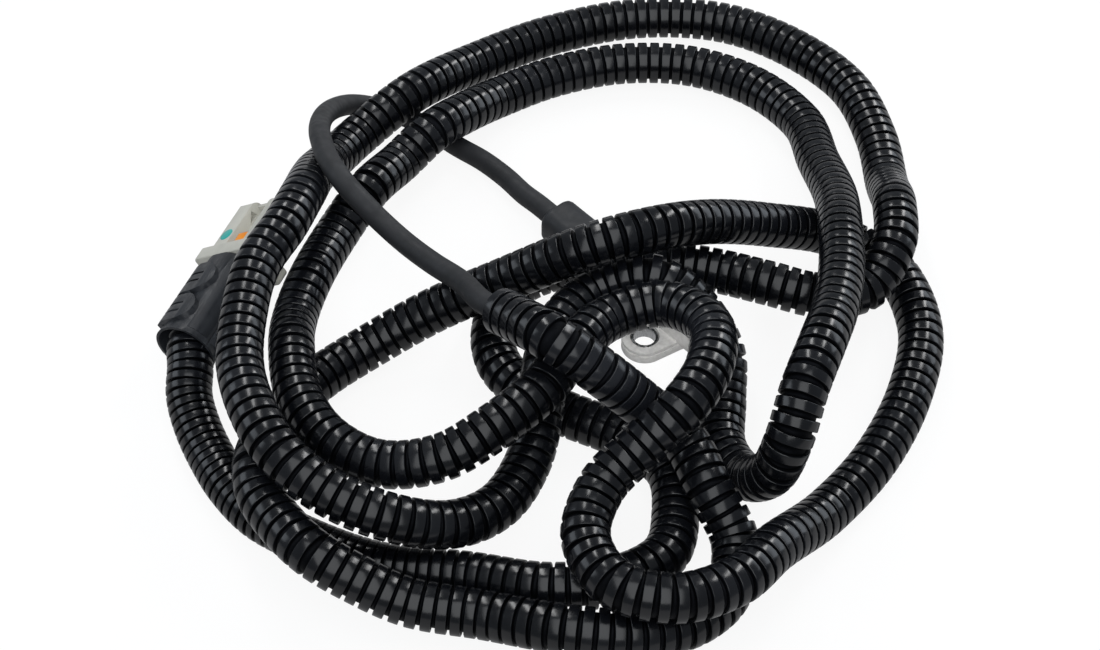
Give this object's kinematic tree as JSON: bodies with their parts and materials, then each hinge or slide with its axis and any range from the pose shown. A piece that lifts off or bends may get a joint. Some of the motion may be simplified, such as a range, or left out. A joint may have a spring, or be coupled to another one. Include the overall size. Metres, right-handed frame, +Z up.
{
  "type": "abs wheel speed sensor",
  "caption": "Wheel speed sensor with a moulded head and bolt eye, a bare cable, a long corrugated conduit laid in loose loops, and a plug.",
  "frame": {"origin": "middle of the sensor head's footprint on the surface it lies on, measured without the cable, the conduit and the plug", "axes": "+X along the sensor head from the cable end to the sensing tip, +Z up along the bolt eye's axis, +Y completes the right-handed frame"},
  "size_m": [0.2212, 0.2535, 0.0542],
  "materials": {
    "head_plastic": "matt",
    "steel": "satin",
    "eye_metal": "satin",
    "bobbin": "satin",
    "copper": "lacquered",
    "magnet": "satin",
    "brass": "satin",
    "core_pale": "satin",
    "core_dark": "satin",
    "cable_rubber": "matt",
    "conduit_plastic": "gloss",
    "backshell_plastic": "satin",
    "ivory_plastic": "satin",
    "orange_plastic": "satin",
    "seal_rubber": "matt"
  },
  "bodies": {
    "root": {"sensor_body": "head_plastic", "nose_cap": "head_plastic", "bush_sleeve": "steel", "probe_shell": "eye_metal", "pole_pin": "steel", "coil_bobbin": "bobbin", "coil_winding": "copper", "magnet": "magnet", "head_terminal_left": "brass", "head_terminal_right": "brass", "head_core_left": "core_pale", "head_core_right": "core_dark", "cable_jacket_end": "cable_rubber", "cable_grommet": "cable_rubber", "cable": "cable_rubber", "conduit": "conduit_plastic", "backshell_upper": "backshell_plastic", "backshell_lower": "backshell_plastic", "plug_housing": "ivory_plastic", "secondary_lock": "orange_plastic", "plug_contact_left": "brass", "plug_contact_right": "brass", "wire_seal_left": "seal_rubber", "wire_seal_right": "seal_rubber", "plug_lead_left": "core_pale", "plug_lead_right": "core_dark"}
  },
  "joints": []
}
